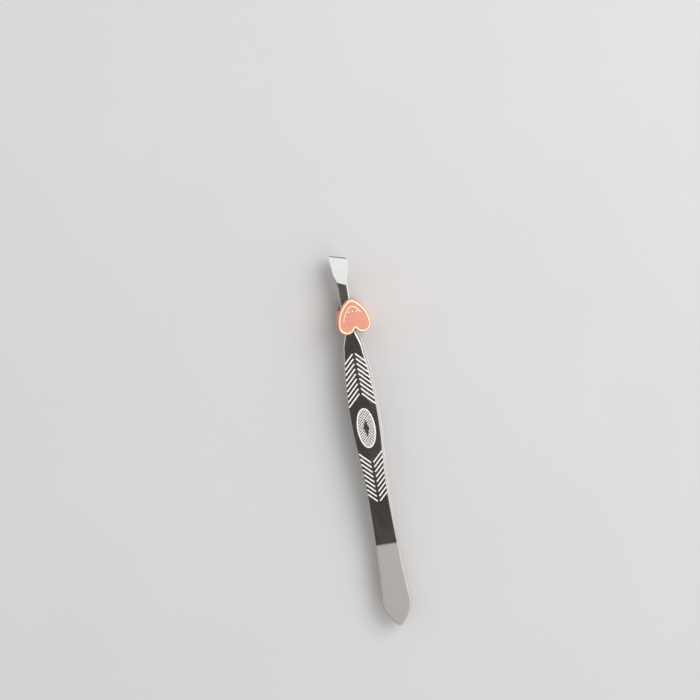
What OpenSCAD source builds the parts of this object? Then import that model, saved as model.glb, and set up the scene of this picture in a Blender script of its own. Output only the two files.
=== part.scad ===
// Slant tweezers with a heart-shaped slide ring.
// Two stamped steel leaves lie flat on each other at the butt, where two spot welds join them.
// In front of the welds they bow apart and come together again at the slanted tips.
// A moulded heart ring rides on the neck and slides between the shoulder and the flare of the head.
// Lengths run along Y from the end of the butt. Heights run along Z from the plane where the leaves meet.
// The origin is on the flat rear face of the butt, face_y in front of its end.

/* [Length] */
// Overall length, from the end of the butt to the long corner of the tips
length = 96; // [88:1:120]
// Length of the butt, where the leaves lie flat on each other
weld_l = 22; // [20:0.5:28]
// Length of the ground face of the head, from the long corner of the tips
head_l = 5.8; // [5:0.1:8]

/* [Leaf] */
// Thickness of the steel strip
leaf_t = 1; // [0.7:0.05:1.3]
// Thickness of the ground edge at the tip
tip_t = 0.3; // [0.2:0.05:0.5]
// Angle of the tip's edge across the tweezers
tip_slant = 15.3; // [5:0.1:30]
// Turn of the plane that is ground on the head, about the long corner of the tips
grind_turn = 13; // [0:0.5:16]
// Gap between the tips while the ring holds the leaves
tip_gap = 1.8; // [1:0.1:3]
// Gap between the leaves where they bow furthest apart
bow_gap = 3.8; // [3.2:0.1:5]
// Place of the widest gap between the leaves
bow_y = 50; // [44:0.5:58]

/* [Outline] */
// Width of the butt's rounded end
butt_end_w = 0.8; // [0.4:0.1:2]
// Widest width of the butt
butt_w = 7.5; // [6:0.1:9.5]
// Place of the butt's widest width
butt_y = 6.4; // [4:0.1:9]
// Width of the waist
waist_w = 5.5; // [4.5:0.1:7]
// Place of the waist
waist_y = 35; // [31:0.5:40]
// Width of the belly, where the fingers press
belly_w = 7.4; // [6:0.1:9]
// Place of the belly
belly_y = 55.5; // [52:0.5:60]
// Width at the shoulder
shoulder_w = 5; // [4:0.1:6]
// Distance from the shoulder to the tip
shoulder_d = 23.7; // [22:0.1:26]
// Width of the neck
neck_w = 2.9; // [2.4:0.1:3.6]
// Distance from the rear end of the neck to the tip
neck_d = 18.8; // [17:0.1:20]
// Distance from the front end of the neck to the tip
flare_d = 8.4; // [8:0.1:10]
// Width of the head behind the tip
flare_w = 4.05; // [3.4:0.05:5]
// Distance from the full width of the head to the tip
cheek_d = 3.2; // [2:0.1:4]
// Width of the tip's edge before it is ground to the slant
head_w = 4.5; // [3.6:0.1:6]

/* [Etched pattern] */
// Depth of the etching
etch_depth = 0.08; // [0.04:0.02:0.14]
// Width of a bar
bar_w = 0.36; // [0.2:0.02:0.5]
// Bars on each side of the centre line, in each of the two groups
bar_count = 9; // [4:1:10]
// Spacing of the bars along the leaf
bar_pitch = 1.27; // [1:0.01:1.5]
// Plain gap left along the centre line
spine_gap = 0.6; // [0.3:0.1:1.2]
// Plain border left along the edges of the leaf
border = 0.35; // [0.2:0.05:0.8]
// Place of the oval's centre
oval_y = 52.2; // [48:0.1:56]
// Width of the oval
oval_w = 4.6; // [3:0.1:5.5]
// Length of the oval
oval_l = 10.2; // [8:0.1:12]
// Width of the oval's line
oval_line = 0.3; // [0.2:0.05:0.5]
// Plain length between the oval and the nearest bar's inner end
oval_space = 3.8; // [3:0.1:5]

/* [Heart ring] */
// Wall of the ring beside its slot, at its widest place
ring_wall = 1.05; // [0.8:0.05:1.6]
// Plate of the ring in front of and behind its slot
ring_plate = 1.1; // [0.8:0.05:1.6]
// Clearance between the slot and the corners of the leaves
ring_clear = 0.1; // [0.05:0.01:0.3]
// Sideways shift of the loose ring on the neck
ring_shift = 0.9; // [0:0.1:1.2]
// Roll of the loose ring about the length of the tweezers
ring_roll = 9; // [0:0.5:12]
// Distance from the ring's rear end to the tip
ring_d = 19.7; // [19:0.1:21]
// Travel of the ring back to the shoulder
ring_back = 1; // [0.5:0.1:1.2]
// Overlap of the two lobes on the heart's centre line
lobe_overlap = 0.2; // [0.1:0.05:0.5]
// Radius of the heart's long sides
side_r = 7.6; // [6.5:0.1:9]

/* [Foil print] */
// Height of the raised foil lines
foil_h = 0.12; // [0.06:0.02:0.2]
// Plain rim outside the outline
foil_rim = 0.3; // [0.2:0.05:0.6]
// Width of the outline
foil_line = 0.33; // [0.2:0.01:0.5]
// Distance from the heart's edge to the inner arch
arch_inset = 1.4; // [1.2:0.05:1.8]
// Width of the inner arch
arch_line = 0.24; // [0.15:0.01:0.4]
// Distance from the lobes' ends to the foot of the arch's longer leg
arch_foot = 3.2; // [2.8:0.1:4.5]
// Difference in length of the arch's two legs
arch_step = 2; // [0:0.1:2.5]
// Distance from the lobes' ends to the dots
dot_y = 5.6; // [4.5:0.1:6]
// Diameter of the dots
dot_d = 0.4; // [0.3:0.05:0.6]
// Spacing of the dots
dot_pitch = 0.95; // [0.8:0.05:1.2]

/* [Spot welds] */
// Diameter of a weld nugget
weld_d = 2.6; // [2:0.1:3.5]
// Depth of a nugget in each leaf
weld_depth = 0.35; // [0.2:0.05:0.5]
// Place of the rear nugget
weld_y = 7.5; // [6:0.5:9]
// Spacing of the two nuggets
weld_pitch = 8; // [6:0.5:10]

/* [Hidden] */

// Gap between butt and blade at the crease, where the strip bends when the tweezers are squeezed
flex_gap = 0.02;
// Height of a cutter past the face that it cuts
past = 1;
// Place of the origin on the rear face of the butt
face_y = weld_l / 2;

// Places along the leaf that are set from the tip
shoulder_y = length - shoulder_d;
neck_y = length - neck_d;
flare_y = length - flare_d;
cheek_y = length - cheek_d;
head_y = length - head_l;
ring_y = length - ring_d;

// Three ways to go from one width to another as t goes from 0 to 1
function ease(a, b, t) = a + (b - a) * (1 - cos(180 * t)) / 2;
function depart(a, b, t) = a + (b - a) * t * t;
function arrive(a, b, t) = b + (a - b) * (1 - t) * (1 - t);
function part_of(y, from, to) = (y - from) / (to - from);

function width(y) =
    y < butt_y ? arrive(butt_end_w, butt_w, part_of(y, 0, butt_y)) :
    y < waist_y ? arrive(butt_w, waist_w, part_of(y, butt_y, waist_y)) :
    y < belly_y ? ease(waist_w, belly_w, part_of(y, waist_y, belly_y)) :
    y < shoulder_y ? depart(belly_w, shoulder_w, part_of(y, belly_y, shoulder_y)) :
    y < neck_y ? ease(shoulder_w, neck_w, part_of(y, shoulder_y, neck_y)) :
    y < flare_y ? neck_w :
    y < cheek_y ? ease(neck_w, flare_w, part_of(y, flare_y, cheek_y)) :
    flare_w + (head_w - flare_w) * part_of(y, cheek_y, length);

// Stretches of the outline: where each starts and ends, and how many steps draw it
stretches = [
    [0, butt_y, 8],
    [butt_y, waist_y, 7],
    [waist_y, belly_y, 8],
    [belly_y, shoulder_y, 6],
    [shoulder_y, neck_y, 6],
    [neck_y, flare_y, 1],
    [flare_y, cheek_y, 6],
    [cheek_y, length, 1]
];
stations = concat(
    [for (s = stretches) for (i = [0 : s[2] - 1]) s[0] + (s[1] - s[0]) * i / s[2]],
    [length]
);

// Turn that brings each leaf's tip from rest to the plane where the leaves meet
squeeze = atan(tip_gap / 2 / (length - weld_l));
function closing_line(y) = (y - weld_l) * tan(squeeze);

// Inner faces: one arc from the crease up to the widest gap, and one from there down to the head
bow_z = bow_gap / 2;
function radius_for(run, drop) = (run * run + drop * drop) / (2 * drop);
rear_r = radius_for(bow_y - weld_l, bow_z);
fore_r = radius_for(head_y - bow_y, bow_z - closing_line(head_y));

// Height over the meeting plane of the leaf's outer face, in front of the widest gap
function outer_z(y) = bow_z - fore_r + sqrt(pow(fore_r + leaf_t, 2) - pow(y - bow_y, 2));

// The ring's slot clears the four corners of the pair of leaves where the ring ends at its back stop
stop_y = ring_y - ring_back;
corner_x = width(stop_y) / 2 + ring_shift;
corner_z = outer_z(stop_y);
slot_w = 2 * (corner_x * cos(ring_roll) + corner_z * sin(ring_roll) + ring_clear);
slot_h = 2 * (corner_z * cos(ring_roll) + corner_x * sin(ring_roll) + ring_clear);
ring_t = slot_h + 2 * ring_plate;
heart_w = slot_w + 2 * ring_wall;
lobe_r = heart_w / 4 + lobe_overlap / 2;
lobe_x = heart_w / 2 - lobe_r;
side_x = side_r - heart_w / 2;
cleft_y = lobe_r - sqrt(lobe_r * lobe_r - lobe_x * lobe_x);
heart_l = lobe_r + sqrt(side_r * side_r - side_x * side_x);

// Resolution of the long arcs of the leaves and of everything else
arc_fn = 1440;
$fn = 96;

// Puts the origin on the rear face of the butt
module placed() {
    translate([0, -face_y, leaf_t]) children();
}

// Extrudes a side view, drawn as length and height, across the tweezers
module across(w) {
    rotate([90, 0, 90]) linear_extrude(w, center = true) children();
}

// Outline of a leaf seen from the front, drawn in by an inset
module outline(inset = 0) {
    half = [for (y = stations) [width(y) / 2 - inset, y]];
    count = len(half);
    difference() {
        polygon(concat(half, [for (i = [count - 1 : -1 : 0]) [-half[i][0], half[i][1]]]));
        translate([-head_w / 2, length]) rotate(-tip_slant) square([3 * head_w, head_l]);
    }
}

// Side view of an arc between two places, from height lo to height hi over the inner face
module arc_band(r, from, to, lo, hi) {
    intersection() {
        translate([bow_y, bow_z - r]) difference() {
            circle(r + hi, $fn = arc_fn);
            circle(r + lo, $fn = arc_fn);
        }
        translate([from, 0]) square([to - from, bow_z + hi + past]);
    }
}

// The arcs of the bow behind and in front of its widest gap
module rear_arc(lo, hi) {
    arc_band(rear_r, weld_l + flex_gap / 2, bow_y, lo, hi);
}

module fore_arc(lo, hi) {
    arc_band(fore_r, bow_y, head_y, lo, hi);
}

// Side view of the head: its inner face lies flat on the other leaf when the tips close
module head() {
    polygon([
        [head_y, closing_line(head_y)],
        [length, closing_line(length)],
        [length, closing_line(length) + leaf_t],
        [head_y, outer_z(head_y)]
    ]);
}

// Room over the plane that is ground on the head, which falls to the long corner of the tips
module grinding() {
    edge_z = closing_line(length) + tip_t;
    fall = (outer_z(head_y) - edge_z) / head_l;
    translate([-head_w / 2, length, edge_z]) rotate(-grind_turn)
        across(4 * head_w) polygon([
            [past, -past * fall],
            [past, leaf_t + past],
            [-2 * head_l, leaf_t + past],
            [-2 * head_l, 2 * head_l * fall]
        ]);
}

// One group of slanting bars: dir is 1 for the group towards the tip and -1 for the other
module bar_group(dir) {
    for (i = [0 : bar_count - 1], side = [-1, 1])
        translate([side * spine_gap / 2, oval_y + dir * (oval_l / 2 + oval_space + i * bar_pitch)])
            rotate(side * dir * -45)
                translate([side > 0 ? 0 : -belly_w, -bar_w / 2])
                    square([belly_w, bar_w]);
}

// Oval with a given width and length
module oval(w, l) {
    polygon([for (a = [0 : 10 : 350]) [w / 2 * cos(a), l / 2 * sin(a)]]);
}

// Etched pattern seen from the front
module pattern() {
    intersection() {
        outline(border);
        union() {
            bar_group(1);
            bar_group(-1);
        }
    }
    translate([0, oval_y]) difference() {
        oval(oval_w, oval_l);
        oval(oval_w - 2 * oval_line, oval_l - 2 * oval_line);
    }
}

// Flat rear part of a leaf, with the pockets that the weld nuggets fill
module butt() {
    difference() {
        intersection() {
            linear_extrude(leaf_t) outline();
            translate([-butt_w, -past, -past]) cube([2 * butt_w, weld_l + past - flex_gap / 2, leaf_t + 2 * past]);
        }
        nuggets();
    }
}

// A side view across the strip, cut to the outline of the leaf
module stamped() {
    intersection() {
        linear_extrude(bow_z + leaf_t + past) outline();
        across(2 * butt_w) children();
    }
}

// A side view across the strip, cut to the etched pattern
module etched() {
    intersection() {
        linear_extrude(bow_z + leaf_t + past) pattern();
        across(2 * butt_w) children();
    }
}

// Bowed front part of a leaf, with its etched outer face
module blade() {
    difference() {
        union() {
            stamped() rear_arc(0, leaf_t);
            stamped() fore_arc(0, leaf_t);
            stamped() head();
        }
        grinding();
        etched() rear_arc(leaf_t - etch_depth, leaf_t + past);
        etched() fore_arc(leaf_t - etch_depth, leaf_t + past);
    }
}

module nuggets() {
    for (i = [0, 1])
        translate([0, weld_y + i * weld_pitch, 0])
            cylinder(h = 2 * weld_depth, d = weld_d, center = true);
}

// Heart with its lobes' ends at y = 0 and its point towards the tips, drawn in by an inset
module heart(inset = 0) {
    intersection() {
        translate([-side_x, lobe_r]) circle(side_r - inset);
        translate([side_x, lobe_r]) circle(side_r - inset);
        translate([-heart_w, lobe_r]) square([2 * heart_w, heart_l]);
    }
    for (side = [-1, 1])
        translate([side * lobe_x, lobe_r]) circle(lobe_r - inset);
    difference() {
        polygon([[-lobe_x, lobe_r], [0, cleft_y], [lobe_x, lobe_r]]);
        if (inset > 0)
            translate([0, cleft_y]) circle(inset);
    }
}

// Raised outline, inner arch and dots of the print
module foil_lines() {
    difference() {
        heart(foil_rim);
        heart(foil_rim + foil_line);
    }
    intersection() {
        difference() {
            heart(arch_inset);
            heart(arch_inset + arch_line);
        }
        polygon([
            [-heart_w, arch_foot],
            [0, arch_foot],
            [0, arch_foot + arch_step],
            [heart_w, arch_foot + arch_step],
            [heart_w, heart_l],
            [-heart_w, heart_l]
        ]);
    }
    for (i = [-1 : 1])
        translate([i * dot_pitch, dot_y]) circle(d = dot_d);
}

// Puts the ring where it hangs loose on the neck
module on_neck() {
    placed() translate([ring_shift, ring_y, 0]) rotate([0, ring_roll, 0]) children();
}

module front_butt() {
    color("silver") placed() butt();
}

module rear_butt() {
    color("silver") placed() mirror([0, 0, 1]) butt();
}

module weld_nuggets() {
    color("dimgray") placed() nuggets();
}

module front_blade() {
    color("gray") placed() blade();
}

module rear_blade() {
    color("gray") placed() mirror([0, 0, 1]) blade();
}

module heart_ring() {
    color("lightsalmon") on_neck() difference() {
        linear_extrude(ring_t, center = true) heart();
        translate([0, heart_l / 2, 0]) cube([slot_w, heart_l + 2 * past, slot_h], center = true);
    }
}

module heart_foil() {
    color("gold") on_neck() translate([0, 0, ring_t / 2]) linear_extrude(foil_h) foil_lines();
}

front_butt();
rear_butt();
weld_nuggets();
front_blade();
rear_blade();
heart_ring();
heart_foil();
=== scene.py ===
"""Slant tweezers with a heart ring: the looks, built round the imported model.

Meshes are built in millimetres in the row frame and scaled to metres at the end.
Each leaf is one strip that bends at the crease, so it stands for the butt and the blade of its side.
"""

import math

import bmesh
import bpy
from mathutils import Matrix, Vector


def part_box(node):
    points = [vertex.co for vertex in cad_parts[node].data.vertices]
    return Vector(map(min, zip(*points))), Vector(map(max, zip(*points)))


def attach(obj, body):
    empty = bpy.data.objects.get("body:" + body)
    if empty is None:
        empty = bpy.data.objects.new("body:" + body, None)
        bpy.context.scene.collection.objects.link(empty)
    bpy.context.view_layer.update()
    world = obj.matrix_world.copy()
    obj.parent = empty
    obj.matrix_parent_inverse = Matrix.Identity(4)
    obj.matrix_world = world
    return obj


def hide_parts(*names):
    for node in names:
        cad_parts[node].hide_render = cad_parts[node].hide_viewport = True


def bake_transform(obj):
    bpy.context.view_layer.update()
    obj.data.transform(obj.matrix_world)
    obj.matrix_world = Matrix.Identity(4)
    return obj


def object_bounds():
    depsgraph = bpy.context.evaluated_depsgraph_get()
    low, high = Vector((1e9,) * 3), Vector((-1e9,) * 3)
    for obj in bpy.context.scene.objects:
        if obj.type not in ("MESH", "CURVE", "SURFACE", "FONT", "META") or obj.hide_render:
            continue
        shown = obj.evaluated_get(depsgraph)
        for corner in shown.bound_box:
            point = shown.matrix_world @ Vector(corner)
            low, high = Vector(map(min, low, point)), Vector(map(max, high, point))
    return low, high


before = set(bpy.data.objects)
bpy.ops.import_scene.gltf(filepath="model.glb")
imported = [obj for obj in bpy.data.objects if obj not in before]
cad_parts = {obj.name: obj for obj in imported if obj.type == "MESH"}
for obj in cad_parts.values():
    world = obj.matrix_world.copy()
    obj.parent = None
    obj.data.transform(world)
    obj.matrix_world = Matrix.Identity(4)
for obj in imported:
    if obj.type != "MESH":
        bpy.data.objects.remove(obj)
cad_box = [list(corner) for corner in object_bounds()]

MM = 0.001
TINY, AT_CREASE, MERGE = 1e-9, 1e-4, 1e-5


def box_mm(node):
    """Lowest and highest corner of a CAD node, in millimetres."""
    lo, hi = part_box(node)
    return lo / MM, hi / MM


# ---------------------------------------------------------------- sizes, in millimetres
butt_lo, butt_hi = box_mm("front_butt")
blade_lo, blade_hi = box_mm("front_blade")
END_Y = butt_lo.y                       # the butt's end
LENGTH = blade_hi.y - END_Y             # from the butt's end to the long corner of the tips
MEET_Z = butt_lo.z                      # the plane where the leaves lie on each other
LEAF_T = butt_hi.z - butt_lo.z
BUTT_W = butt_hi.x - butt_lo.x
WELD_L = (butt_hi.y + blade_lo.y) / 2 - END_Y   # the crease, from the butt's end

# Outline of a leaf: widths, and their places from the butt's end or from the tip
BUTT_END_W, BUTT_Y = 0.8, 6.4
WAIST_W, WAIST_Y = 5.5, 35.0
BELLY_W, BELLY_Y = 7.4, 55.5
SHOULDER_W, SHOULDER_Y = 5.0, LENGTH - 23.7
NECK_W, NECK_Y = 2.9, LENGTH - 18.8
FLARE_W, FLARE_Y = 4.05, LENGTH - 8.4
CHEEK_Y = LENGTH - 3.2
HEAD_W, HEAD_Y = 4.5, LENGTH - 5.8

# Side view of a leaf
TIP_T, TIP_GAP, TIP_SLANT, GRIND_TURN = 0.3, 1.8, math.radians(15.3), math.radians(13)
BOW_Y, BOW_Z = 50.0, 1.9
EDGE_R, NECK_EDGE_R, INNER_EDGE_R = 0.33, 0.5, 0.12     # rounding of the outer and the inner edges
EDGE_SHARE = 0.9                        # most that a rounding takes of half the width

# Etched pattern
ETCH, BAR_W, BAR_COUNT, BAR_PITCH = 0.08, 0.32, 9, 1.27
SPINE_GAP, BORDER = 0.6, 0.35
OVAL_Y, OVAL_W, OVAL_L, OVAL_LINE, OVAL_SPACE = 52.2, 4.6, 10.2, 0.3, 3.8
LOZENGE_W, LOZENGE_L = 1.6, 5.0
HATCH_PITCH, HATCH_W = 0.5, 0.13
# The hatch's two directions, as lean, depth and phase. They differ so that no two cuts coincide, and the cut
# fails with other values: a change needs a look at the leaf's face count.
HATCHES = [(1, 0.06, 0.1), (-1, 0.055, 0.35)]
GROOVE_END = 0.25                       # least width of a groove's end, as a share of its width
BAR_REACH, BAR_STEP = 0.1, 0.02         # how far a bar may pass the border, and the step that finds its end

# Heart ring
RING_ROLL = math.radians(9)
RING_WALL, RING_PLATE, LOBE_OVERLAP, SIDE_R = 1.05, 1.1, 0.2, 7.6
RING_EDGE_R, CLEFT_R, POINT_R = 0.3, 0.08, 1.6

# Foil print
FOIL_H, FOIL_RIM, FOIL_LINE = 0.12, 0.3, 0.33
ARCH_INSET, ARCH_LINE, ARCH_FOOT, ARCH_STEP, ARCH_POINT_R = 1.4, 0.24, 3.2, 2.0, 2.8
DOT_Y, DOT_D, DOT_PITCH = 5.6, 0.4, 0.95

# Spot welds
WELD_CLEAR = 0.01


# ---------------------------------------------------------------- shape of a leaf
def ease(a, b, t):
    return a + (b - a) * (1 - math.cos(math.pi * t)) / 2


def depart(a, b, t):
    return a + (b - a) * t * t


def arrive(a, b, t):
    return b + (a - b) * (1 - t) ** 2


def straight(a, b, t):
    return a + (b - a) * t


STRETCHES = [
    (0, BUTT_Y, BUTT_END_W, BUTT_W, arrive),
    (BUTT_Y, WAIST_Y, BUTT_W, WAIST_W, arrive),
    (WAIST_Y, BELLY_Y, WAIST_W, BELLY_W, ease),
    (BELLY_Y, SHOULDER_Y, BELLY_W, SHOULDER_W, depart),
    (SHOULDER_Y, NECK_Y, SHOULDER_W, NECK_W, ease),
    (NECK_Y, FLARE_Y, NECK_W, NECK_W, straight),
    (FLARE_Y, CHEEK_Y, NECK_W, FLARE_W, ease),
    (CHEEK_Y, LENGTH, FLARE_W, HEAD_W, straight),
]


def width(y):
    """Width of a leaf, y millimetres from the butt's end."""
    for start, stop, a, b, way in STRETCHES:
        if y <= stop:
            return way(a, b, max(0, y - start) / (stop - start))
    return HEAD_W


SQUEEZE = math.atan(TIP_GAP / 2 / (LENGTH - WELD_L))


def closing_line(y):
    return (y - WELD_L) * math.tan(SQUEEZE)


def radius_for(run, drop):
    return (run * run + drop * drop) / (2 * drop)


REAR_R = radius_for(BOW_Y - WELD_L, BOW_Z)
FORE_R = radius_for(HEAD_Y - BOW_Y, BOW_Z - closing_line(HEAD_Y))


def side_view(y, up):
    """Height over the meeting plane of the leaf's inner face (up = 0) or outer face (up = LEAF_T)."""
    if y <= WELD_L:
        return up
    if y <= HEAD_Y:
        r = REAR_R if y < BOW_Y else FORE_R
        return BOW_Z - r + math.sqrt((r + up) ** 2 - (y - BOW_Y) ** 2)
    start = side_view(HEAD_Y, up)
    return start + (closing_line(y) - closing_line(HEAD_Y))


def round_off(distance, r):
    """How far a rounded edge falls at a distance from the side face."""
    if distance >= r:
        return 0.0
    return r - math.sqrt(max(0.0, r * r - (r - max(0.0, distance)) ** 2))


def edge_r(y):
    share = min(max((y - BELLY_Y) / (SHOULDER_Y - BELLY_Y), 0), 1)
    return min(EDGE_R + (NECK_EDGE_R - EDGE_R) * share, EDGE_SHARE * width(y) / 2)


def outer_face(x, y):
    """Height of the outer face over the meeting plane, with its rounded edges."""
    return side_view(y, LEAF_T) - round_off(width(y) / 2 - abs(x), edge_r(y)) - round_off(y, EDGE_R)


def spread(start, stop, step):
    """Evenly spaced places from start to stop, about a step apart, without the last."""
    count = max(1, round((stop - start) / step))
    return [start + (stop - start) * i / count for i in range(count)]


def ring_section(y):
    """Points round a leaf's cross-section, as (x, height over the meeting plane)."""
    half, r = width(y) / 2, edge_r(y)
    inner_r = min(INNER_EDGE_R, 0.3 * half)
    drop = round_off(y, EDGE_R)
    top, bottom = side_view(y, LEAF_T) - drop, side_view(y, 0)
    flat = half - r
    face_steps, turn_steps, inner_steps = 17, 8, 3
    points = [(flat * (2 * i / face_steps - 1), top) for i in range(face_steps + 1)]
    for i in range(1, turn_steps + 1):
        a = math.pi / 2 * i / turn_steps
        points.append((flat + r * math.sin(a), top - min(r, top - bottom - inner_r) * (1 - math.cos(a))))
    for i in range(inner_steps + 1):
        a = math.pi / 2 * i / inner_steps
        points.append((half - inner_r * (1 - math.cos(a)), bottom + inner_r * (1 - math.sin(a))))
    inner_flat = half - inner_r
    points += [(inner_flat * (1 - 2 * i / face_steps), bottom) for i in range(1, face_steps + 1)]
    for i in range(1, inner_steps + 1):
        a = math.pi / 2 * i / inner_steps
        points.append((-inner_flat - inner_r * math.sin(a), bottom + inner_r * (1 - math.cos(a))))
    for i in range(turn_steps):
        a = math.pi / 2 * (1 - i / turn_steps)
        points.append((-flat - r * math.sin(a), top - min(r, top - bottom - inner_r) * (1 - math.cos(a))))
    return points


def leaf_stations():
    """Places along a leaf where it gets a cross-section: close together where the shape turns fast."""
    rounding = [EDGE_R * (1 - math.cos(math.pi / 2 * i / 6)) for i in range(6)]
    past_tip = LENGTH + 0.2
    return (
        rounding
        + spread(EDGE_R, BUTT_Y, 0.25)
        + spread(BUTT_Y, WELD_L, 0.6)
        + [WELD_L]
        + spread(WELD_L + 0.3, BOW_Y, 0.5)
        + spread(BOW_Y, SHOULDER_Y, 0.4)
        + spread(SHOULDER_Y, NECK_Y, 0.2)
        + spread(NECK_Y, FLARE_Y, 0.4)
        + spread(FLARE_Y, LENGTH, 0.2)
        + [LENGTH, past_tip]
    )


def skin(bm, rows, capped=True):
    """Joins rows of points into a skin. Each row is closed on itself, and the ends may be capped."""
    verts = [[bm.verts.new(p) for p in row] for row in rows]
    count = len(rows[0])
    for a, b in zip(verts, verts[1:]):
        for i in range(count):
            j = (i + 1) % count
            bm.faces.new((a[i], a[j], b[j], b[i]))
    if capped:
        bm.faces.new(verts[0][::-1])
        bm.faces.new(verts[-1])


def cut_off(bm, point, normal, material):
    """Cuts away what lies beyond a plane and closes the cut with one flat face."""
    everything = bm.verts[:] + bm.edges[:] + bm.faces[:]
    cut = bmesh.ops.bisect_plane(bm, geom=everything, plane_co=point, plane_no=normal, clear_outer=True)
    edges = [e for e in cut["geom_cut"] if isinstance(e, bmesh.types.BMEdge)]
    for face in bmesh.ops.holes_fill(bm, edges=edges, sides=0)["faces"]:
        face.material_index = material
        face.smooth = False


FROST, GROUND = 1, 2                    # material indices: the polished steel is 0


def leaf_blank():
    """A leaf before it is etched: a strip with rounded edges, a slanted tip and a ground head."""
    bm = bmesh.new()
    skin(bm, [[(x, y, z) for x, z in ring_section(y)] for y in leaf_stations()])
    for face in bm.faces:
        face.smooth = True
    corner = Vector((-HEAD_W / 2, LENGTH, closing_line(LENGTH) + TIP_T))
    towards_tip = Vector((math.sin(TIP_SLANT), math.cos(TIP_SLANT), 0))
    cut_off(bm, corner, towards_tip, GROUND)
    fall = (side_view(HEAD_Y, LEAF_T) - corner.z) / (LENGTH - HEAD_Y)
    along_grind = Vector((math.sin(GRIND_TURN), math.cos(GRIND_TURN), 0))
    cut_off(bm, corner, (along_grind * fall + Vector((0, 0, 1))).normalized(), GROUND)
    bmesh.ops.recalc_face_normals(bm, faces=bm.faces[:])
    return bm


# ---------------------------------------------------------------- etched pattern
def pocket(bm, grid, depth, above=0.4, cyclic=False):
    """A cutter whose floor lies a depth under the leaf's outer face. The grid's points are (x, y)."""
    floor = [[bm.verts.new((x, y, outer_face(x, y) - depth)) for x, y in row] for row in grid]
    roof = [[bm.verts.new((x, y, outer_face(x, y) + above)) for x, y in row] for row in grid]
    rows, cols = len(grid), len(grid[0])
    made = []
    for i in range(rows if cyclic else rows - 1):
        k = (i + 1) % rows
        for j in range(cols - 1):
            made.append(bm.faces.new((floor[i][j], floor[i][j + 1], floor[k][j + 1], floor[k][j])))
            made.append(bm.faces.new((roof[i][j], roof[k][j], roof[k][j + 1], roof[i][j + 1])))
        for j in (0, cols - 1):
            made.append(bm.faces.new((floor[i][j], floor[k][j], roof[k][j], roof[i][j])))
    if not cyclic:
        for i in (0, rows - 1):
            for j in range(cols - 1):
                made.append(bm.faces.new((floor[i][j], floor[i][j + 1], roof[i][j + 1], roof[i][j])))
    for face in made:
        face.material_index = FROST


def groove(bm, a, b, w, depth, step=0.5):
    """A cutter for a straight groove with round ends, from the middle of one to that of the other."""
    a, b = Vector(a), Vector(b)
    along = (b - a).normalized()
    side = Vector((-along.y, along.x))
    r = w / 2
    cap = [math.pi / 2 * i / 5 for i in range(5)]
    rows = [(a - along * r * math.cos(t), max(r * math.sin(t), GROOVE_END * r)) for t in cap]
    rows += [(a + (b - a) * i / n, r) for n in [max(1, round((b - a).length / step))] for i in range(n + 1)]
    rows += [(b + along * r * math.cos(t), max(r * math.sin(t), GROOVE_END * r)) for t in cap[::-1]]
    pocket(bm, [[tuple(p + side * h * k) for k in (-1, -0.5, 0, 0.5, 1)] for p, h in rows], depth)


def oval_band(bm, w, l, line, depth, steps=96):
    """A cutter for the band inside an oval's outline."""
    turns = [2 * math.pi * i / steps for i in range(steps)]
    pocket(bm, [
        [((w / 2 - k * line) * math.cos(t), OVAL_Y + (l / 2 - k * line) * math.sin(t)) for k in (0, 0.5, 1)]
        for t in turns
    ], depth, cyclic=True)


def bars(bm):
    """Slanting bars that run outward and towards the oval, in two groups."""
    r = BAR_W / 2
    for group in (1, -1):
        for i in range(BAR_COUNT):
            y = OVAL_Y + group * (OVAL_L / 2 + OVAL_SPACE + i * BAR_PITCH)
            for side in (-1, 1):
                step = Vector((side, -group)) * math.sqrt(0.5)
                start = Vector((side * SPINE_GAP / 2, y)) + step * r
                stop = start.copy()
                while abs(stop.x) + r < width(stop.y) / 2 - BORDER + BAR_REACH:
                    stop += step * BAR_STEP
                groove(bm, start, stop, BAR_W, ETCH)


def crossings(point, along, w, l):
    """Where a line through a point crosses an oval round the pattern's centre, or None."""
    p = Vector((point.x / (w / 2), (point.y - OVAL_Y) / (l / 2)))
    d = Vector((along.x / (w / 2), along.y / (l / 2)))
    a, b, c = d.dot(d), 2 * p.dot(d), p.dot(p) - 1
    root = b * b - 4 * a * c
    if root <= 0:
        return None
    return (-b - math.sqrt(root)) / (2 * a), (-b + math.sqrt(root)) / (2 * a)


def lozenge_crossings(point, along):
    """Where a line through a point enters and leaves the plain lozenge in the middle, or None."""
    enter, leave = -math.inf, math.inf
    for side_x in (-1, 1):
        for side_y in (-1, 1):
            slope = Vector((side_x / (LOZENGE_W / 2), side_y / (LOZENGE_L / 2)))
            room = 1 - slope.dot(point - Vector((0, OVAL_Y)))
            speed = slope.dot(along)
            if abs(speed) < TINY:
                if room < 0:
                    return None
            elif speed > 0:
                leave = min(leave, room / speed)
            else:
                enter = max(enter, room / speed)
    return (enter, leave) if enter < leave else None


def hatch(bm, lean, depth, phase):
    """Fine grooves that fill the oval round its plain lozenge, all leaning one way."""
    along = Vector((lean, 1)).normalized()
    across = Vector((1, -lean)).normalized()
    reach = round(OVAL_L / 2 / HATCH_PITCH)
    for i in range(-reach, reach + 1):
        point = Vector((0, OVAL_Y)) + across * ((i + phase) * HATCH_PITCH)
        outer = crossings(point, along, OVAL_W - OVAL_LINE, OVAL_L - OVAL_LINE)
        inner = lozenge_crossings(point, along)
        if outer is None:
            continue
        spans = [outer] if inner is None else [(outer[0], inner[0]), (inner[1], outer[1])]
        for t0, t1 in spans:
            if t1 - t0 > HATCH_W:
                groove(bm, point + along * t0, point + along * t1, HATCH_W, depth)


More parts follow.
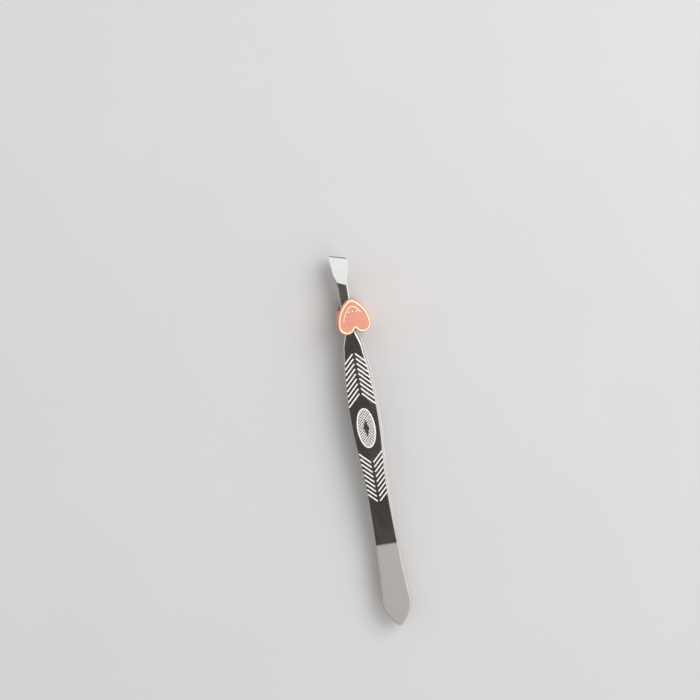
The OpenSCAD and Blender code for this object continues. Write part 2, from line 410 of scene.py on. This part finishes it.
def weld_pockets(bm):
    """Cutters for the pockets that the weld nuggets fill."""
    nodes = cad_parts["weld_nuggets"].data.vertices
    ys = sorted(v.co.y / MM - END_Y for v in nodes)
    lo, hi = box_mm("weld_nuggets")
    r = (hi.x - lo.x) / 2
    for y in (ys[0] + r, ys[-1] - r):
        depth = hi.z - MEET_Z + WELD_CLEAR
        for_cut = Matrix.Translation((0, y, 0))
        bmesh.ops.create_cone(bm, cap_ends=True, segments=64, radius1=r + WELD_CLEAR, radius2=r + WELD_CLEAR,
                              depth=2 * depth, matrix=for_cut)


# ---------------------------------------------------------------- mesh work
def new_object(name, bm):
    mesh = bpy.data.meshes.new(name)
    bm.to_mesh(mesh)
    bm.free()
    made = bpy.data.objects.new(name, mesh)
    bpy.context.scene.collection.objects.link(made)
    return made


def carve(target, draw, *values):
    """Cuts the shape that draw() makes out of the target's mesh."""
    bm = bmesh.new()
    draw(bm, *values)
    bmesh.ops.recalc_face_normals(bm, faces=bm.faces[:])
    cutter = new_object("cutter", bm)
    give(cutter, *target.data.materials)
    modifier = target.modifiers.new("carve", "BOOLEAN")
    modifier.operation, modifier.solver, modifier.object = "DIFFERENCE", "EXACT", cutter
    graph = bpy.context.evaluated_depsgraph_get()
    carved = bpy.data.meshes.new_from_object(target.evaluated_get(graph))
    target.modifiers.clear()
    target.data = carved
    bpy.data.objects.remove(cutter)


def shade(target, angle_deg=28):
    """Smooth shading, with sharp edges at corners, at the crease and where the finish changes."""
    bm = bmesh.new()
    bm.from_mesh(target.data)
    limit = math.radians(angle_deg)
    for face in bm.faces:
        face.smooth = True
    for edge in bm.edges:
        sharp = edge.calc_face_angle(math.pi) > limit
        if len(edge.link_faces) == 2:
            sharp = sharp or edge.link_faces[0].material_index != edge.link_faces[1].material_index
        sharp = sharp or all(abs(v.co.y - WELD_L) < AT_CREASE for v in edge.verts)
        edge.smooth = not sharp
    bm.to_mesh(target.data)
    bm.free()


def place(target, matrix):
    """Moves a finished mesh from its own millimetres to the row frame in metres."""
    target.data.transform(Matrix.Scale(MM, 4) @ matrix)
    if matrix.determinant() < 0:
        target.data.flip_normals()
    return target


def give(target, *materials):
    """Puts materials in an object's slots, and leaves each face in the slot that it has."""
    slots = target.data.materials
    for i, material in enumerate(materials):
        if i < len(slots):
            slots[i] = material
        else:
            slots.append(material)


def build_leaves(finish):
    front = new_object("front_leaf", leaf_blank())
    give(front, *finish)
    carve(front, bars)
    carve(front, oval_band, OVAL_W, OVAL_L, OVAL_LINE, ETCH)
    for values in HATCHES:
        carve(front, hatch, *values)
    carve(front, weld_pockets)
    shade(front)
    rear = bpy.data.objects.new("rear_leaf", front.data.copy())
    bpy.context.scene.collection.objects.link(rear)
    put = Matrix.Translation((0, END_Y, MEET_Z))
    place(front, put)
    place(rear, put @ Matrix.Scale(-1, 4, (0, 0, 1)))
    return front, rear


# ---------------------------------------------------------------- heart ring
ring_lo, ring_hi = box_mm("heart_ring")
RING_CENTRE = Vector(((ring_lo.x + ring_hi.x) / 2, ring_lo.y, (ring_lo.z + ring_hi.z) / 2))
HEART_L = ring_hi.y - ring_lo.y
COS, SIN = math.cos(RING_ROLL), math.sin(RING_ROLL)
SPAN_X, SPAN_Z = ring_hi.x - ring_lo.x, ring_hi.z - ring_lo.z
HEART_W = (SPAN_X * COS - SPAN_Z * SIN) / (COS * COS - SIN * SIN)
RING_T = (SPAN_Z * COS - SPAN_X * SIN) / (COS * COS - SIN * SIN)
LOBE_R = HEART_W / 4 + LOBE_OVERLAP / 2
LOBE_X = HEART_W / 2 - LOBE_R
SIDE_X = SIDE_R - HEART_W / 2
CLEFT_Y = LOBE_R - math.sqrt((LOBE_R + CLEFT_R) ** 2 - LOBE_X ** 2)


def arc(cx, cy, r, start, stop, steps):
    """Points on an arc, with its start and without its end."""
    turns = [start + (stop - start) * i / steps for i in range(steps)]
    return [(cx + r * math.cos(a), cy + r * math.sin(a)) for a in turns]


def right_half(inset, point_r):
    """Right half of the heart, from its rounded cleft to its rounded point, drawn in by an inset."""
    cleft_turn = math.atan2(LOBE_R - CLEFT_Y, LOBE_X)
    point_y = LOBE_R + math.sqrt((SIDE_R - point_r) ** 2 - SIDE_X ** 2)
    point_turn = math.atan2(point_y - LOBE_R, SIDE_X)
    return (
        arc(0, CLEFT_Y, CLEFT_R + inset, math.pi / 2, cleft_turn, 6)
        + arc(LOBE_X, LOBE_R, LOBE_R - inset, cleft_turn - math.pi, 0, 26)
        + arc(-SIDE_X, LOBE_R, SIDE_R - inset, 0, point_turn, 26)
        + arc(0, point_y, point_r - inset, point_turn, math.pi / 2, 8)
        + [(0, point_y + point_r - inset)]
    )


def heart(inset, point_r=POINT_R):
    right = right_half(inset, point_r)
    return right + [(-x, y) for x, y in right[-2:0:-1]]


def ring_blank():
    """The heart with rounded edges, before the slot is cut."""
    bm = bmesh.new()
    steps = 8
    turns = [math.pi / 2 * i / steps for i in range(steps + 1)]
    back = [(RING_EDGE_R * (1 - math.sin(t)), -RING_T / 2 + RING_EDGE_R * (1 - math.cos(t))) for t in turns]
    front = [(inset, -z) for inset, z in back[::-1]]
    side = [(0, z) for z in spread(back[-1][1], front[0][1], 0.7)[1:]]
    skin(bm, [[(x, y, z) for x, y in heart(inset)] for inset, z in back + side + front])
    return bm


def slot_cutter(bm):
    """The slot through the ring, with rounded corners."""
    half_w, half_h, r = HEART_W / 2 - RING_WALL, RING_T / 2 - RING_PLATE, 0.25
    corners = [(half_w - r, half_h - r, 0), (r - half_w, half_h - r, 1),
               (r - half_w, r - half_h, 2), (half_w - r, r - half_h, 3)]
    section = []
    for cx, cz, quarter in corners:
        section += arc(cx, cz, r, quarter * math.pi / 2, (quarter + 1) * math.pi / 2, 4)
        last = (quarter + 1) * math.pi / 2
        section.append((cx + r * math.cos(last), cz + r * math.sin(last)))
    skin(bm, [[(x, y, z) for x, z in section] for y in (-1, HEART_L + 1)])


RING_PLACE = Matrix.Translation(RING_CENTRE) @ Matrix.Rotation(RING_ROLL, 4, "Y")


def build_ring():
    ring = new_object("ring_body", ring_blank())
    carve(ring, slot_cutter)
    shade(ring, 40)
    return place(ring, RING_PLACE)


def rope(bm, rows_of, line, height, ends=False):
    """A raised line with a rounded top. rows_of(share) gives the points at a share of the line's width."""
    count = 8
    shares = [i / count for i in range(count + 1)]
    lines = [rows_of(s) for s in shares]
    rows = []
    steps = len(lines[0])
    for k in range(steps):
        fade = 1.0
        if ends:
            reach = min(k, steps - 1 - k) / 3
            fade = math.sqrt(min(1.0, 0.15 + 0.85 * reach))
        row = []
        for s, points in zip(shares, lines):
            lift = height * fade * math.sqrt(max(0.0, 1 - (2 * s - 1) ** 2))
            row.append((points[k][0], points[k][1], RING_T / 2 + max(lift, 0.004)))
        rows.append([(row[0][0], row[0][1], RING_T / 2)] + row + [(row[-1][0], row[-1][1], RING_T / 2)])
    if not ends:
        rows.append(rows[0])
    skin(bm, rows, capped=ends)


def outline_points(share):
    return heart(FOIL_RIM + FOIL_LINE * share)


def arch_points(share):
    """The inner arch: the part of a drawn-in heart between its two feet. One leg is longer than the other."""
    inset = ARCH_INSET + ARCH_LINE * share
    side_r = SIDE_R - inset
    point_y = LOBE_R + math.sqrt((SIDE_R - ARCH_POINT_R) ** 2 - SIDE_X ** 2)
    point_turn = math.atan2(point_y - LOBE_R, SIDE_X)
    left_foot = math.asin((ARCH_FOOT - LOBE_R) / side_r)
    right_foot = math.asin((ARCH_FOOT + ARCH_STEP - LOBE_R) / side_r)
    right = arc(-SIDE_X, LOBE_R, side_r, right_foot, point_turn, 16)
    top = arc(0, point_y, ARCH_POINT_R - inset, point_turn, math.pi - point_turn, 16)
    left = arc(SIDE_X, LOBE_R, side_r, math.pi - point_turn, math.pi - left_foot, 24)
    return right + top + left


def dome(bm, x, y, r, height, rings=5, steps=24):
    """A low round dot."""
    turns = [2 * math.pi * i / steps for i in range(steps)]
    levels = [(r, 0.0)] + [(r * math.cos(math.pi / 2 * i / rings), height * math.sin(math.pi / 2 * i / rings))
                           for i in range(1, rings)]
    rows = [[(x + k * math.cos(t), y + k * math.sin(t), RING_T / 2 + lift) for t in turns]
            for k, lift in levels]
    skin(bm, rows)


def build_foil():
    bm = bmesh.new()
    rope(bm, outline_points, FOIL_LINE, FOIL_H)
    rope(bm, arch_points, ARCH_LINE, FOIL_H, ends=True)
    for i in (-1, 0, 1):
        dome(bm, i * DOT_PITCH, DOT_Y, DOT_D / 2, FOIL_H)
    bmesh.ops.remove_doubles(bm, verts=bm.verts[:], dist=MERGE)
    bmesh.ops.recalc_face_normals(bm, faces=bm.faces[:])
    foil = new_object("foil_print", bm)
    shade(foil, 50)
    return place(foil, RING_PLACE)


# ---------------------------------------------------------------- materials
class Nodes:
    """Short ways to add shader nodes to a material or a world."""

    def __init__(self, tree):
        self.tree = tree
        self.tree.nodes.clear()

    def add(self, kind, **inputs):
        node = self.tree.nodes.new(kind)
        for name, value in inputs.items():
            key = name.replace("_", " ")
            numbered = key[0] == "i" and key[1:].isdigit()
            self.set(node.inputs[int(key[1:]) if numbered else key], value)
        return node

    def set(self, socket, value):
        if isinstance(value, bpy.types.NodeSocket):
            self.tree.links.new(value, socket)
        else:
            socket.default_value = value

    def millimetres(self, scale):
        """Object coordinates in millimetres, stretched by a scale."""
        here = self.add("ShaderNodeTexCoord").outputs["Object"]
        mapping = self.add("ShaderNodeMapping", Vector=here, Scale=tuple(s / MM for s in scale))
        return mapping.outputs["Vector"]

    def noise(self, scale, detail=4.0, roughness=0.55):
        """Noise with a number of lumps per millimetre along each axis."""
        node = self.add("ShaderNodeTexNoise", Vector=self.millimetres(scale), Scale=1.0, Detail=detail,
                        Roughness=roughness)
        return node.outputs["Fac"]

    def spread(self, value, low, high, to_low=0.0, to_high=1.0, smooth=False):
        node = self.tree.nodes.new("ShaderNodeMapRange")
        node.interpolation_type = "SMOOTHSTEP" if smooth else "LINEAR"
        sockets = ("Value", "From Min", "From Max", "To Min", "To Max")
        for key, v in zip(sockets, (value, low, high, to_low, to_high)):
            self.set(node.inputs[key], v)
        return node.outputs["Result"]

    def math(self, operation, a, b=0.0):
        node = self.tree.nodes.new("ShaderNodeMath")
        node.operation = operation
        self.set(node.inputs[0], a)
        self.set(node.inputs[1], b)
        return node.outputs[0]

    def mix(self, share, a, b):
        """Mix of two colours."""
        node = self.tree.nodes.new("ShaderNodeMix")
        node.data_type = "RGBA"
        self.set(node.inputs["Factor"], share)
        self.set(node.inputs["A"], a)
        self.set(node.inputs["B"], b)
        return node.outputs["Result"]

    def bump(self, height, distance_mm, strength=1.0):
        node = self.add("ShaderNodeBump", Height=height, Distance=distance_mm * MM, Strength=strength)
        return node.outputs["Normal"]


def new_material(name, shader):
    """A material whose surface is one Principled shader. shader(nodes, principled) sets it up."""
    material = bpy.data.materials.new(name)
    material.use_nodes = True
    n = Nodes(material.node_tree)
    output = n.add("ShaderNodeOutputMaterial")
    principled = n.add("ShaderNodeBsdfPrincipled")
    n.set(output.inputs["Surface"], principled.outputs["BSDF"])
    shader(n, principled)
    return material


def grey(value, warm=0.0):
    return (value * (1 + warm), value, value * (1 - warm), 1)


def standing_edges(n):
    """1 on an edge that stands out, 0 elsewhere. The materials give such edges a paler colour."""
    pointiness = n.add("ShaderNodeNewGeometry").outputs["Pointiness"]
    return n.spread(pointiness, 0.52, 0.6)


def steel(n, p):
    """Polished strip: fine lines along its length, faint smears, and a satin butt behind the crease."""
    lines = n.noise((9, 0.25, 9), 6, 0.7)
    smears = n.noise((0.35, 0.12, 0.35), 3)
    here = n.add("ShaderNodeSeparateXYZ", Vector=n.millimetres((1, 1, 1)))
    crease = WELD_L + END_Y
    satin = n.spread(here.outputs["Y"], crease - 0.9, crease - 0.1, 1.0, 0.0, smooth=True)
    rough = n.math("ADD", n.spread(lines, 0.3, 0.7, 0.09, 0.17), n.spread(smears, 0.35, 0.75, 0.0, 0.06))
    rough = n.math("ADD", rough, n.math("MULTIPLY", satin, 0.34))
    n.set(p.inputs["Roughness"], n.math("ADD", rough, n.math("MULTIPLY", standing_edges(n), 0.08)))
    tone = n.mix(n.spread(smears, 0.3, 0.7), grey(0.56, 0.035), grey(0.50, 0.055))
    # Edges that stand out get a paler grey than the rest of the strip.
    n.set(p.inputs["Base Color"], n.mix(standing_edges(n), tone, grey(0.66, 0.02)))
    p.inputs["Metallic"].default_value = 1.0
    n.set(p.inputs["Normal"], n.bump(lines, 0.0035, 0.35))


def frost(n, p):
    """Etched steel: white, matt and grainy."""
    grain = n.noise((14, 14, 14), 5, 0.7)
    n.set(p.inputs["Base Color"], n.mix(n.spread(grain, 0.3, 0.7), grey(0.94, 0.01), grey(0.78, 0.02)))
    n.set(p.inputs["Roughness"], n.spread(grain, 0.3, 0.7, 0.5, 0.7))
    p.inputs["Metallic"].default_value = 0.25
    n.set(p.inputs["Normal"], n.bump(grain, 0.02, 0.5))


def ground(n, p):
    """Ground face of the head: bright, with grinding lines that run across it."""
    lines = n.noise((0.5, 11, 3), 5, 0.7)
    tone = n.mix(n.spread(lines, 0.3, 0.7), grey(0.97, 0.0), grey(0.88, 0.01))
    n.set(p.inputs["Base Color"], tone)
    n.set(p.inputs["Roughness"], n.spread(lines, 0.3, 0.7, 0.24, 0.36))
    p.inputs["Metallic"].default_value = 1.0
    n.set(p.inputs["Normal"], n.bump(lines, 0.006, 0.4))


def ring_plastic(n, p):
    """Moulded plastic, milky salmon with paler streaks where it flowed."""
    flow = n.noise((0.5, 0.25, 0.5), 3, 0.5)
    fine = n.noise((5, 5, 5), 4, 0.6)
    tone = n.mix(n.spread(flow, 0.3, 0.7), (0.66, 0.27, 0.185, 1), (0.70, 0.32, 0.235, 1))
    # Edges that stand out get a paler salmon than the rest of the ring.
    n.set(p.inputs["Base Color"], n.mix(standing_edges(n), tone, (0.76, 0.42, 0.33, 1)))
    n.set(p.inputs["Roughness"], n.spread(fine, 0.3, 0.7, 0.22, 0.36))
    p.inputs["Subsurface Weight"].default_value = 0.35
    p.inputs["Subsurface Radius"].default_value = (1.0, 0.45, 0.35)
    p.inputs["Subsurface Scale"].default_value = 1.2 * MM
    p.inputs["Transmission Weight"].default_value = 0.12
    p.inputs["IOR"].default_value = 1.49
    n.set(p.inputs["Normal"], n.bump(fine, 0.008, 0.35))


def gold_foil(n, p):
    """Hot-stamped foil: pale gold, with specks where the plastic shows through."""
    specks = n.spread(n.noise((7, 7, 7), 5, 0.7), 0.62, 0.72)
    creases = n.noise((3, 3, 3), 4, 0.6)
    tone = n.mix(n.spread(creases, 0.3, 0.7), (0.98, 0.78, 0.45, 1), (1.0, 0.90, 0.66, 1))
    n.set(p.inputs["Base Color"], n.mix(specks, tone, (0.90, 0.47, 0.33, 1)))
    n.set(p.inputs["Metallic"], n.spread(specks, 0.0, 1.0, 0.7, 0.1))
    n.set(p.inputs["Roughness"], n.spread(creases, 0.3, 0.7, 0.24, 0.4))
    n.set(p.inputs["Normal"], n.bump(creases, 0.012, 0.5))


def weld_metal(n, p):
    """Fused steel, dull and straw to blue where the heat tinted it."""
    heat = n.noise((1.1, 1.1, 1.1), 4, 0.6)
    straw, blue = (0.42, 0.34, 0.22, 1), (0.24, 0.27, 0.34, 1)
    n.set(p.inputs["Base Color"], n.mix(n.spread(heat, 0.35, 0.65), straw, blue))
    n.set(p.inputs["Roughness"], n.spread(heat, 0.3, 0.7, 0.4, 0.6))
    p.inputs["Metallic"].default_value = 1.0
    n.set(p.inputs["Normal"], n.bump(heat, 0.03, 0.6))


def floor_paint(n, p):
    """Pale matt table top."""
    mottle = n.noise((0.02, 0.02, 0.02), 4)
    n.set(p.inputs["Base Color"], n.mix(mottle, (0.53, 0.52, 0.515, 1), (0.56, 0.55, 0.545, 1)))
    n.set(p.inputs["Roughness"], n.spread(mottle, 0.0, 1.0, 0.7, 0.8))


# ---------------------------------------------------------------- pieces
leaf_finish = [new_material("leaf_steel", steel), new_material("etched_frost", frost),
               new_material("ground_steel", ground)]
for leaf, side in zip(build_leaves(leaf_finish), ("front", "rear")):
    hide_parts(f"{side}_butt", f"{side}_blade")
    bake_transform(leaf)

ring = build_ring()
give(ring, new_material("ring_plastic", ring_plastic))
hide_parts("heart_ring")
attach(ring, "ring")

foil = build_foil()
give(foil, new_material("gold_foil", gold_foil))
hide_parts("heart_foil")
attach(foil, "ring")

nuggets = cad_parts["weld_nuggets"]
give(nuggets, new_material("weld_metal", weld_metal))


# ---------------------------------------------------------------- floor, light and camera
def build_floor():
    bm = bmesh.new()
    bmesh.ops.create_grid(bm, x_segments=8, y_segments=8, size=3.0 / MM)
    floor = new_object("floor", bm)
    place(floor, Matrix.Translation((0, 0, cad_box[0][2] / MM)))
    give(floor, new_material("floor_paint", floor_paint))


# The studio as seen from the tweezers: a dark cloth overhead and to the rear, a white wall on the right
# and a dimmer one on the left. Edges of the cloth are given as run over height.
CLOTH_LEFT, CLOTH_RIGHT, CLOTH_REAR, CLOTH_FORE, CLOTH_SOFT = -0.45, 0.05, -1.0, 0.045, 0.035
CLOTH_TONE, LEFT_TONE, RIGHT_TONE, FORE_TONE = 0.075, 0.5, 1.75, 1.2
CLOTH_WARMTH, STUDIO_STRENGTH = 0.16, 0.8
SIDE_FADE, FORE_FADE = (-0.4, 0.2), (-0.1, 0.15)    # where one wall's tone goes over into the next
KEY_SIZE, KEY_POWER, KEY_PLACE = 0.5, 4.5, (0.5, 0.35, 0.6)

# Camera: the picture's width and the point it looks at in millimetres, and how it is turned
LENS, SENSOR_W, FRAMED = 100, 36, 175.0
AIM_X, AIM_Y = -0.9, 72.1
TILT_RIGHT, TILT_FORE, LEAN = math.radians(4.5), math.radians(8), math.radians(9.64)


def build_world():
    world = bpy.data.worlds.new("studio")
    bpy.context.scene.world = world
    world.use_nodes = True
    n = Nodes(world.node_tree)
    way = n.add("ShaderNodeSeparateXYZ", Vector=n.add("ShaderNodeTexCoord").outputs["Generated"])
    height = n.math("MAXIMUM", way.outputs["Z"], 0.01)
    x = n.math("DIVIDE", way.outputs["X"], height)
    y = n.math("DIVIDE", way.outputs["Y"], height)
    cloth = n.spread(x, CLOTH_LEFT - CLOTH_SOFT, CLOTH_LEFT, smooth=True)
    for value, edge in ((x, CLOTH_RIGHT), (y, CLOTH_FORE)):
        cloth = n.math("MULTIPLY", cloth, n.spread(value, edge, edge + CLOTH_SOFT, 1.0, 0.0, smooth=True))
    cloth = n.math("MULTIPLY", cloth, n.spread(y, CLOTH_REAR - CLOTH_SOFT, CLOTH_REAR, smooth=True))
    walls = n.mix(n.spread(way.outputs["X"], *SIDE_FADE, smooth=True), grey(LEFT_TONE), grey(RIGHT_TONE))
    walls = n.mix(n.spread(way.outputs["Y"], *FORE_FADE, smooth=True), walls, grey(FORE_TONE))
    tone = n.mix(cloth, walls, grey(CLOTH_TONE, CLOTH_WARMTH))
    background = n.add("ShaderNodeBackground", Color=tone, Strength=STUDIO_STRENGTH)
    output = n.add("ShaderNodeOutputWorld")
    n.set(output.inputs["Surface"], background.outputs["Background"])


def build_key_light():
    """A soft box to the right and towards the tips."""
    light = bpy.data.lights.new("key", "AREA")
    light.shape, light.size, light.size_y, light.energy = "RECTANGLE", KEY_SIZE, KEY_SIZE, KEY_POWER
    key = bpy.data.objects.new("key", light)
    bpy.context.scene.collection.objects.link(key)
    key.location = KEY_PLACE
    key.rotation_euler = (-Vector(key.location)).to_track_quat("-Z", "Y").to_euler()


def build_camera():
    """Looks at the front, from a little to the right and towards the tips, which lean to the left."""
    data = bpy.data.cameras.new("camera")
    data.lens, data.sensor_width = LENS, SENSOR_W
    data.clip_start, data.clip_end = 0.01, 20
    camera = bpy.data.objects.new("camera", data)
    bpy.context.scene.collection.objects.link(camera)
    aim = Vector((AIM_X, END_Y + AIM_Y, MEET_Z + LEAF_T))
    back = Vector((math.tan(TILT_RIGHT), math.tan(TILT_FORE), 1)).normalized()
    up = Vector((math.sin(LEAN), math.cos(LEAN), 0))
    up = (up - up.dot(back) * back).normalized()
    right = up.cross(back)
    eye = (aim + back * FRAMED * data.lens / data.sensor_width) * MM
    camera.matrix_world = Matrix.Translation(eye) @ Matrix((right, up, back)).transposed().to_4x4()
    bpy.context.scene.camera = camera


build_floor()
build_world()
build_key_light()
build_camera()
bpy.context.scene.view_settings.view_transform = "Standard"
